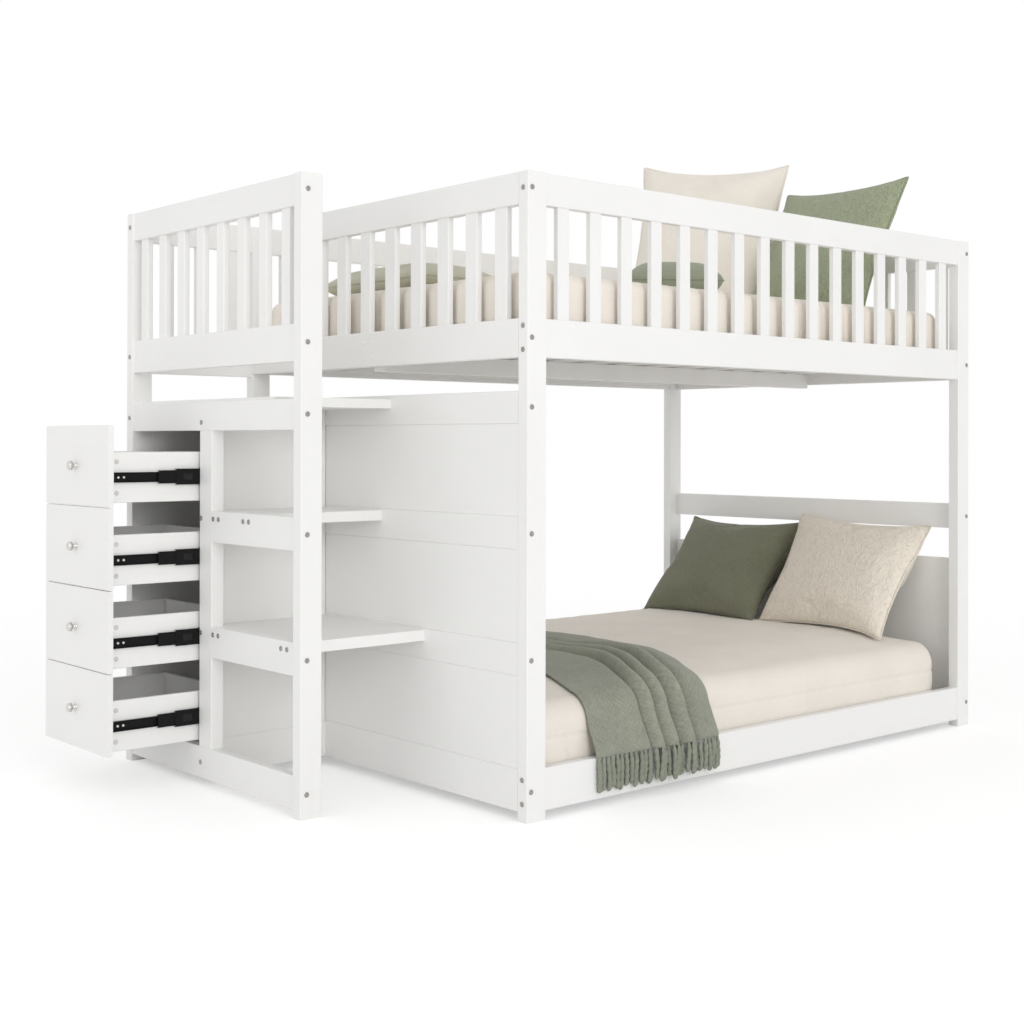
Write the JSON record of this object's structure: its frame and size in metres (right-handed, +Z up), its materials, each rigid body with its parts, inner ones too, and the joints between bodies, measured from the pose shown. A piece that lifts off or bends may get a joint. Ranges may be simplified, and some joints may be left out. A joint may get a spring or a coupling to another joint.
{
  "type": "bunk bed",
  "caption": "Low wooden bunk bed with a slatted guard, a stair tower with open cubbies at the foot end, sliding drawers under the landing, mattresses and bedding.",
  "frame": {"origin": "middle of the model's footprint on the floor, with the drawers open as they rest", "axes": "+X along the bed from the stair tower to the head end, +Y across the bed from the open side to the side with the drawers, +Z up"},
  "size_m": [2.726, 1.4342, 2.0576],
  "materials": {
    "painted_wood": "satin white paint",
    "slide_steel": "black zinc",
    "bolt_steel": "zinc plated",
    "knob_steel": "satin nickel",
    "cream_quilt": "channel quilted cotton",
    "cream_linen": "washed linen",
    "cream_knit": "textured knit",
    "sage_linen": "slubbed linen",
    "deep_green_linen": "slubbed linen",
    "sage_weave": "woven throw with fringe"
  },
  "bodies": {
    "bed": {"post_near_foot": "painted_wood", "post_near_head": "painted_wood", "post_far_foot": "painted_wood", "post_far_head": "painted_wood", "upper_side_rails": "painted_wood", "lower_side_rails": "painted_wood", "upper_end_rails": "painted_wood", "guard_top_rails": "painted_wood", "side_guard_slats": "painted_wood", "end_guard_slats": "painted_wood", "stair_opening_post": "painted_wood", "headboard_rail": "painted_wood", "headboard_panel": "painted_wood", "foot_panel_rails": "painted_wood", "foot_panel_boards": "painted_wood", "stair_post_near": "painted_wood", "stair_post_far": "painted_wood", "stair_stile": "painted_wood", "stair_guard_rails": "painted_wood", "stair_guard_slats": "painted_wood", "platform_rails": "painted_wood", "step_rails": "painted_wood", "stair_base_rail": "painted_wood", "landing_board": "painted_wood", "step_boards": "painted_wood", "step_battens": "painted_wood", "divider_panel": "painted_wood", "cabinet_side_panel": "painted_wood", "deck_supports": "painted_wood", "deck_slats": "painted_wood", "frame_bolts": "bolt_steel", "fixed_slides": "slide_steel", "upper_mattress": "cream_quilt", "lower_mattress": "cream_linen", "upper_cream_pillow": "cream_knit", "lower_cream_pillow": "cream_knit", "upper_green_pillow": "sage_linen", "small_cushions": "sage_linen", "lower_green_pillow": "deep_green_linen", "throw": "sage_weave"},
    "drawer_1": {"drawer_1_front": "painted_wood", "drawer_1_box": "painted_wood", "drawer_1_knob": "knob_steel", "drawer_1_runners": "slide_steel"},
    "slides_1": {"drawer_1_travelling_slides": "slide_steel"},
    "drawer_2": {"drawer_2_front": "painted_wood", "drawer_2_box": "painted_wood", "drawer_2_knob": "knob_steel", "drawer_2_runners": "slide_steel"},
    "slides_2": {"drawer_2_travelling_slides": "slide_steel"},
    "drawer_3": {"drawer_3_front": "painted_wood", "drawer_3_box": "painted_wood", "drawer_3_knob": "knob_steel", "drawer_3_runners": "slide_steel"},
    "slides_3": {"drawer_3_travelling_slides": "slide_steel"},
    "drawer_4": {"drawer_4_front": "painted_wood", "drawer_4_box": "painted_wood", "drawer_4_knob": "knob_steel", "drawer_4_runners": "slide_steel"},
    "slides_4": {"drawer_4_travelling_slides": "slide_steel"}
  },
  "joints": [
    {"name": "drawer_1_slide", "type": "slide", "parent": "bed", "child": "drawer_1", "axis": [-1, 0, 0], "range_m": [-0.252, 0.048]},
    {"name": "slides_1_travel", "type": "slide", "parent": "bed", "child": "slides_1", "axis": [-1, 0, 0], "range_m": [-0.126, 0.024]},
    {"name": "drawer_2_slide", "type": "slide", "parent": "bed", "child": "drawer_2", "axis": [-1, 0, 0], "range_m": [-0.252, 0.048]},
    {"name": "slides_2_travel", "type": "slide", "parent": "bed", "child": "slides_2", "axis": [-1, 0, 0], "range_m": [-0.126, 0.024]},
    {"name": "drawer_3_slide", "type": "slide", "parent": "bed", "child": "drawer_3", "axis": [-1, 0, 0], "range_m": [-0.252, 0.048]},
    {"name": "slides_3_travel", "type": "slide", "parent": "bed", "child": "slides_3", "axis": [-1, 0, 0], "range_m": [-0.126, 0.024]},
    {"name": "drawer_4_slide", "type": "slide", "parent": "bed", "child": "drawer_4", "axis": [-1, 0, 0], "range_m": [-0.252, 0.048]},
    {"name": "slides_4_travel", "type": "slide", "parent": "bed", "child": "slides_4", "axis": [-1, 0, 0], "range_m": [-0.126, 0.024]}
  ],
  "couplings": [
    {"joint": "slides_1_travel", "follows": "drawer_1_slide", "ratio": 0.5},
    {"joint": "slides_2_travel", "follows": "drawer_2_slide", "ratio": 0.5},
    {"joint": "slides_3_travel", "follows": "drawer_3_slide", "ratio": 0.5},
    {"joint": "slides_4_travel", "follows": "drawer_4_slide", "ratio": 0.5}
  ]
}
